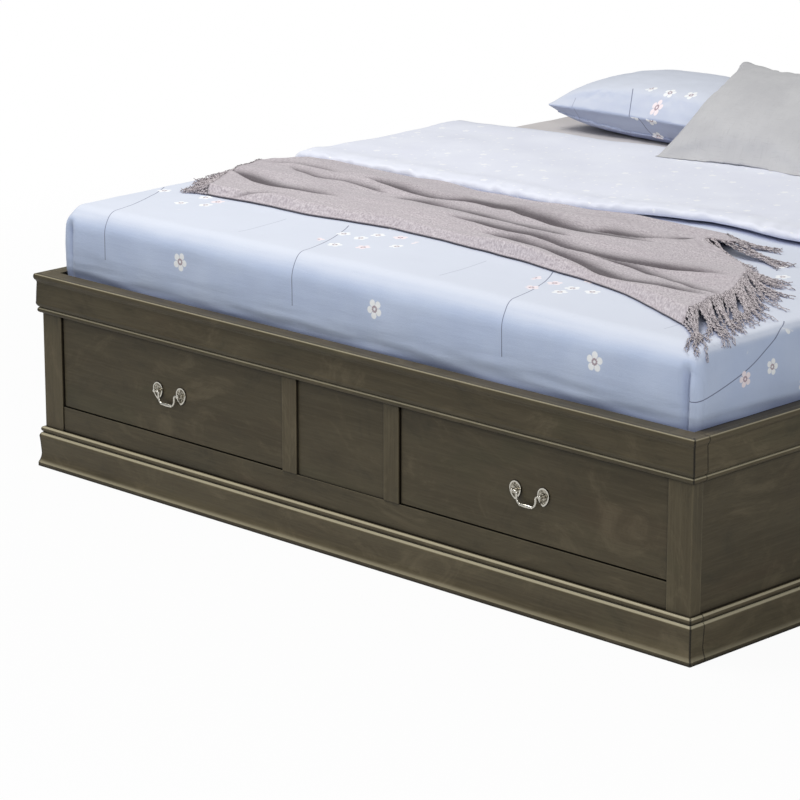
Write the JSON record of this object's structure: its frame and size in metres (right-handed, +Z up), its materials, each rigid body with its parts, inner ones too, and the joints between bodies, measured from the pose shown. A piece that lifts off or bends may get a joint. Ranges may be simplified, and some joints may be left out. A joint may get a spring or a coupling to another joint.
{
  "type": "platform bed with storage drawers",
  "caption": "Wide platform bed with a moulded footboard that holds drawers on ball-bearing slides with swinging bail pulls, made up with mattress, comforter, throw and pillows.",
  "frame": {"origin": "on the floor, under the middle of the bed frame", "axes": "+Z up, +Y from foot to head, +X to the right of someone who faces the drawers"},
  "size_m": [2.06, 2.142, 0.8561],
  "materials": {
    "weathered_wood": "satin",
    "pale_wood": "matte",
    "zinc_steel": "satin",
    "satin_nickel": "satin",
    "glide_plastic": "matte",
    "sheet_cotton": "matte",
    "comforter_cotton": "matte",
    "foldback_cotton": "matte",
    "throw_knit": "matte",
    "accent_cotton": "matte"
  },
  "bodies": {
    "bed_frame": {"footboard_top_rail": "weathered_wood", "footboard_bottom_rail": "weathered_wood", "center_panel": "weathered_wood", "footboard_cornice": "weathered_wood", "footboard_base": "weathered_wood", "cornice_returns": "weathered_wood", "base_returns": "weathered_wood", "head_panel": "weathered_wood", "footboard_post_left": "weathered_wood", "mid_stile_left": "weathered_wood", "side_panel_left": "weathered_wood", "side_cornice_left": "weathered_wood", "side_base_left": "weathered_wood", "head_post_left": "weathered_wood", "footboard_post_right": "weathered_wood", "mid_stile_right": "weathered_wood", "side_panel_right": "weathered_wood", "side_cornice_right": "weathered_wood", "side_base_right": "weathered_wood", "head_post_right": "weathered_wood", "slats": "pale_wood", "center_beam": "pale_wood", "center_legs": "pale_wood", "housing_back_rail": "pale_wood", "slat_ledger_left": "pale_wood", "left_housing_sides": "pale_wood", "slat_ledger_right": "pale_wood", "right_housing_sides": "pale_wood", "corner_brackets": "zinc_steel", "bracket_bolts": "zinc_steel", "left_slide_cabinet_members": "zinc_steel", "right_slide_cabinet_members": "zinc_steel", "leg_glides": "glide_plastic", "mattress": "sheet_cotton", "comforter": "comforter_cotton", "comforter_foldback": "foldback_cotton", "throw_blanket": "throw_knit", "pillow_left": "comforter_cotton", "pillow_right": "comforter_cotton", "accent_pillow": "accent_cotton"},
    "left_drawer": {"left_drawer_front": "weathered_wood", "left_drawer_box_sides": "pale_wood", "left_drawer_box_ends": "pale_wood", "left_drawer_bottom": "pale_wood", "left_slide_drawer_members": "zinc_steel", "left_pull_rosettes": "satin_nickel", "left_pull_posts": "satin_nickel", "left_pull_nuts": "zinc_steel"},
    "left_slide_middle": {"left_slide_middle_members": "zinc_steel"},
    "left_bail": {"left_pull_bail": "satin_nickel"},
    "right_drawer": {"right_drawer_front": "weathered_wood", "right_drawer_box_sides": "pale_wood", "right_drawer_box_ends": "pale_wood", "right_drawer_bottom": "pale_wood", "right_slide_drawer_members": "zinc_steel", "right_pull_rosettes": "satin_nickel", "right_pull_posts": "satin_nickel", "right_pull_nuts": "zinc_steel"},
    "right_slide_middle": {"right_slide_middle_members": "zinc_steel"},
    "right_bail": {"right_pull_bail": "satin_nickel"}
  },
  "joints": [
    {"name": "left_drawer_slide", "type": "slide", "parent": "bed_frame", "child": "left_drawer", "axis": [0, -1, 0], "range_m": [0, 0.4]},
    {"name": "left_middle_slide", "type": "slide", "parent": "bed_frame", "child": "left_slide_middle", "axis": [0, -1, 0], "range_m": [0, 0.2]},
    {"name": "left_bail_hinge", "type": "hinge", "parent": "left_drawer", "child": "left_bail", "pos_m": [-0.567, -1.062, 0.268], "axis": [-1, 0, 0], "range_deg": [0, 90]},
    {"name": "right_drawer_slide", "type": "slide", "parent": "bed_frame", "child": "right_drawer", "axis": [0, -1, 0], "range_m": [0, 0.4]},
    {"name": "right_middle_slide", "type": "slide", "parent": "bed_frame", "child": "right_slide_middle", "axis": [0, -1, 0], "range_m": [0, 0.2]},
    {"name": "right_bail_hinge", "type": "hinge", "parent": "right_drawer", "child": "right_bail", "pos_m": [0.567, -1.062, 0.268], "axis": [-1, 0, 0], "range_deg": [0, 90]}
  ],
  "couplings": [
    {"joint": "left_middle_slide", "follows": "left_drawer_slide", "ratio": 0.5},
    {"joint": "right_middle_slide", "follows": "right_drawer_slide", "ratio": 0.5}
  ]
}
